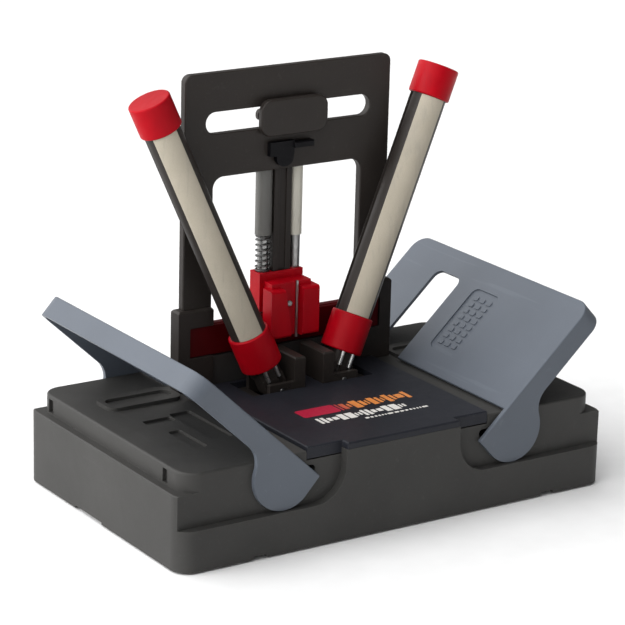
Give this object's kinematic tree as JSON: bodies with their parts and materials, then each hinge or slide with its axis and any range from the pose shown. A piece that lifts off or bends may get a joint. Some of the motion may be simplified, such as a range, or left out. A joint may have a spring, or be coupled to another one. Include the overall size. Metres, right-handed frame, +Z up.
{
  "type": "blade sharpener, bench-top V-rod",
  "caption": "Fold-up bench sharpener: stepped base, hinged covers, upright frame with a sliding blade guide, and a V of sprung abrasive rods with capped ends.",
  "frame": {"origin": "middle of the footprint, on the surface the tool stands on", "axes": "+X along the base to the right of someone facing the tool, +Y to the back, where the upright stands, +Z up"},
  "size_m": [0.252, 0.1516, 0.2103],
  "materials": {
    "base_plastic": "fine texture",
    "deck_plastic": "satin",
    "black_plastic": "satin",
    "cover_plastic": "satin",
    "red_plastic": "semi-gloss",
    "fine_abrasive": "fine grit",
    "coarse_abrasive": "coarse grit",
    "steel": "brushed",
    "feet_rubber": "matte",
    "print": "printed"
  },
  "bodies": {
    "base_body": {"base_tray": "base_plastic", "bottom_cover": "base_plastic", "cover_screws": "steel", "rubber_feet": "feet_rubber", "deck_plate": "deck_plastic", "deck_badge": "print", "tower_frame": "black_plastic", "left_foot_bracket": "black_plastic", "right_foot_bracket": "black_plastic", "tower_socket": "base_plastic", "guide_crossbar": "red_plastic", "centre_rail": "black_plastic", "left_guide_rod": "steel", "right_guide_rod": "steel", "left_sleeve": "cover_plastic", "right_sleeve": "steel", "column_bracket": "black_plastic", "catch_block": "black_plastic", "tower_screws": "steel", "button_bushing": "black_plastic", "left_rod_bracket": "black_plastic", "right_rod_bracket": "black_plastic", "left_pivot_pin": "steel", "right_pivot_pin": "steel", "left_tilt_spring": "steel", "right_tilt_spring": "steel", "guide_spring": "steel"},
    "guide_body": {"blade_guide": "red_plastic", "guide_bush": "black_plastic", "wear_strip": "steel", "guide_screw": "steel"},
    "button_body": {"release_button": "black_plastic", "button_clip": "black_plastic", "button_spring": "steel"},
    "left_axle_body": {"left_cover_axle": "steel", "left_axle_clips": "steel"},
    "left_cover_body": {"left_cover": "cover_plastic"},
    "left_rod_body": {"left_rod_yoke": "black_plastic", "left_locating_pins": "steel", "left_lower_cap": "red_plastic", "left_top_cap": "red_plastic", "left_rod_core": "black_plastic", "left_fine_stone": "fine_abrasive", "left_coarse_stone": "coarse_abrasive"},
    "right_axle_body": {"right_cover_axle": "steel", "right_axle_clips": "steel"},
    "right_cover_body": {"right_cover": "cover_plastic"},
    "right_rod_body": {"right_rod_yoke": "black_plastic", "right_locating_pins": "steel", "right_lower_cap": "red_plastic", "right_top_cap": "red_plastic", "right_rod_core": "black_plastic", "right_fine_stone": "fine_abrasive", "right_coarse_stone": "coarse_abrasive"}
  },
  "joints": [
    {"name": "left_axle_slide", "type": "slide", "parent": "base_body", "child": "left_axle_body", "axis": [1, 0, 0], "range_m": [0, 0.0168]},
    {"name": "left_cover_fold", "type": "hinge", "parent": "left_axle_body", "child": "left_cover_body", "pos_m": [-0.0677, 0, 0.0387], "axis": [0, -1, 0], "range_deg": [0, 42.8]},
    {"name": "left_rod_tilt", "type": "hinge", "parent": "base_body", "child": "left_rod_body", "pos_m": [-0.0188, 0.0158, 0.05], "axis": [0, -1, 0], "range_deg": [0, 14], "stiffness_Nm_per_rad": 0.3, "springref_deg": -20.05},
    {"name": "right_axle_slide", "type": "slide", "parent": "base_body", "child": "right_axle_body", "axis": [-1, 0, 0], "range_m": [0, 0.0168]},
    {"name": "right_cover_fold", "type": "hinge", "parent": "right_axle_body", "child": "right_cover_body", "pos_m": [0.0677, 0, 0.0387], "axis": [0, 1, 0], "range_deg": [0, 42.8]},
    {"name": "right_rod_tilt", "type": "hinge", "parent": "base_body", "child": "right_rod_body", "pos_m": [0.0188, 0.0158, 0.05], "axis": [0, 1, 0], "range_deg": [0, 14], "stiffness_Nm_per_rad": 0.3, "springref_deg": -20.05},
    {"name": "blade_guide_slide", "type": "slide", "parent": "base_body", "child": "guide_body", "axis": [0, 0, 1], "range_m": [0, 0.012], "stiffness_N_per_m": 150, "springref_m": -0.01, "deforming": ["guide_spring"]},
    {"name": "release_button_press", "type": "slide", "parent": "base_body", "child": "button_body", "axis": [0, 1, 0], "range_m": [0, 0.002], "stiffness_N_per_m": 400, "springref_m": -0.001}
  ],
  "couplings": [
    {"joint": "left_axle_slide", "follows": "left_cover_fold", "m_per_rad": 0.02249},
    {"joint": "right_axle_slide", "follows": "right_cover_fold", "m_per_rad": 0.02249}
  ]
}
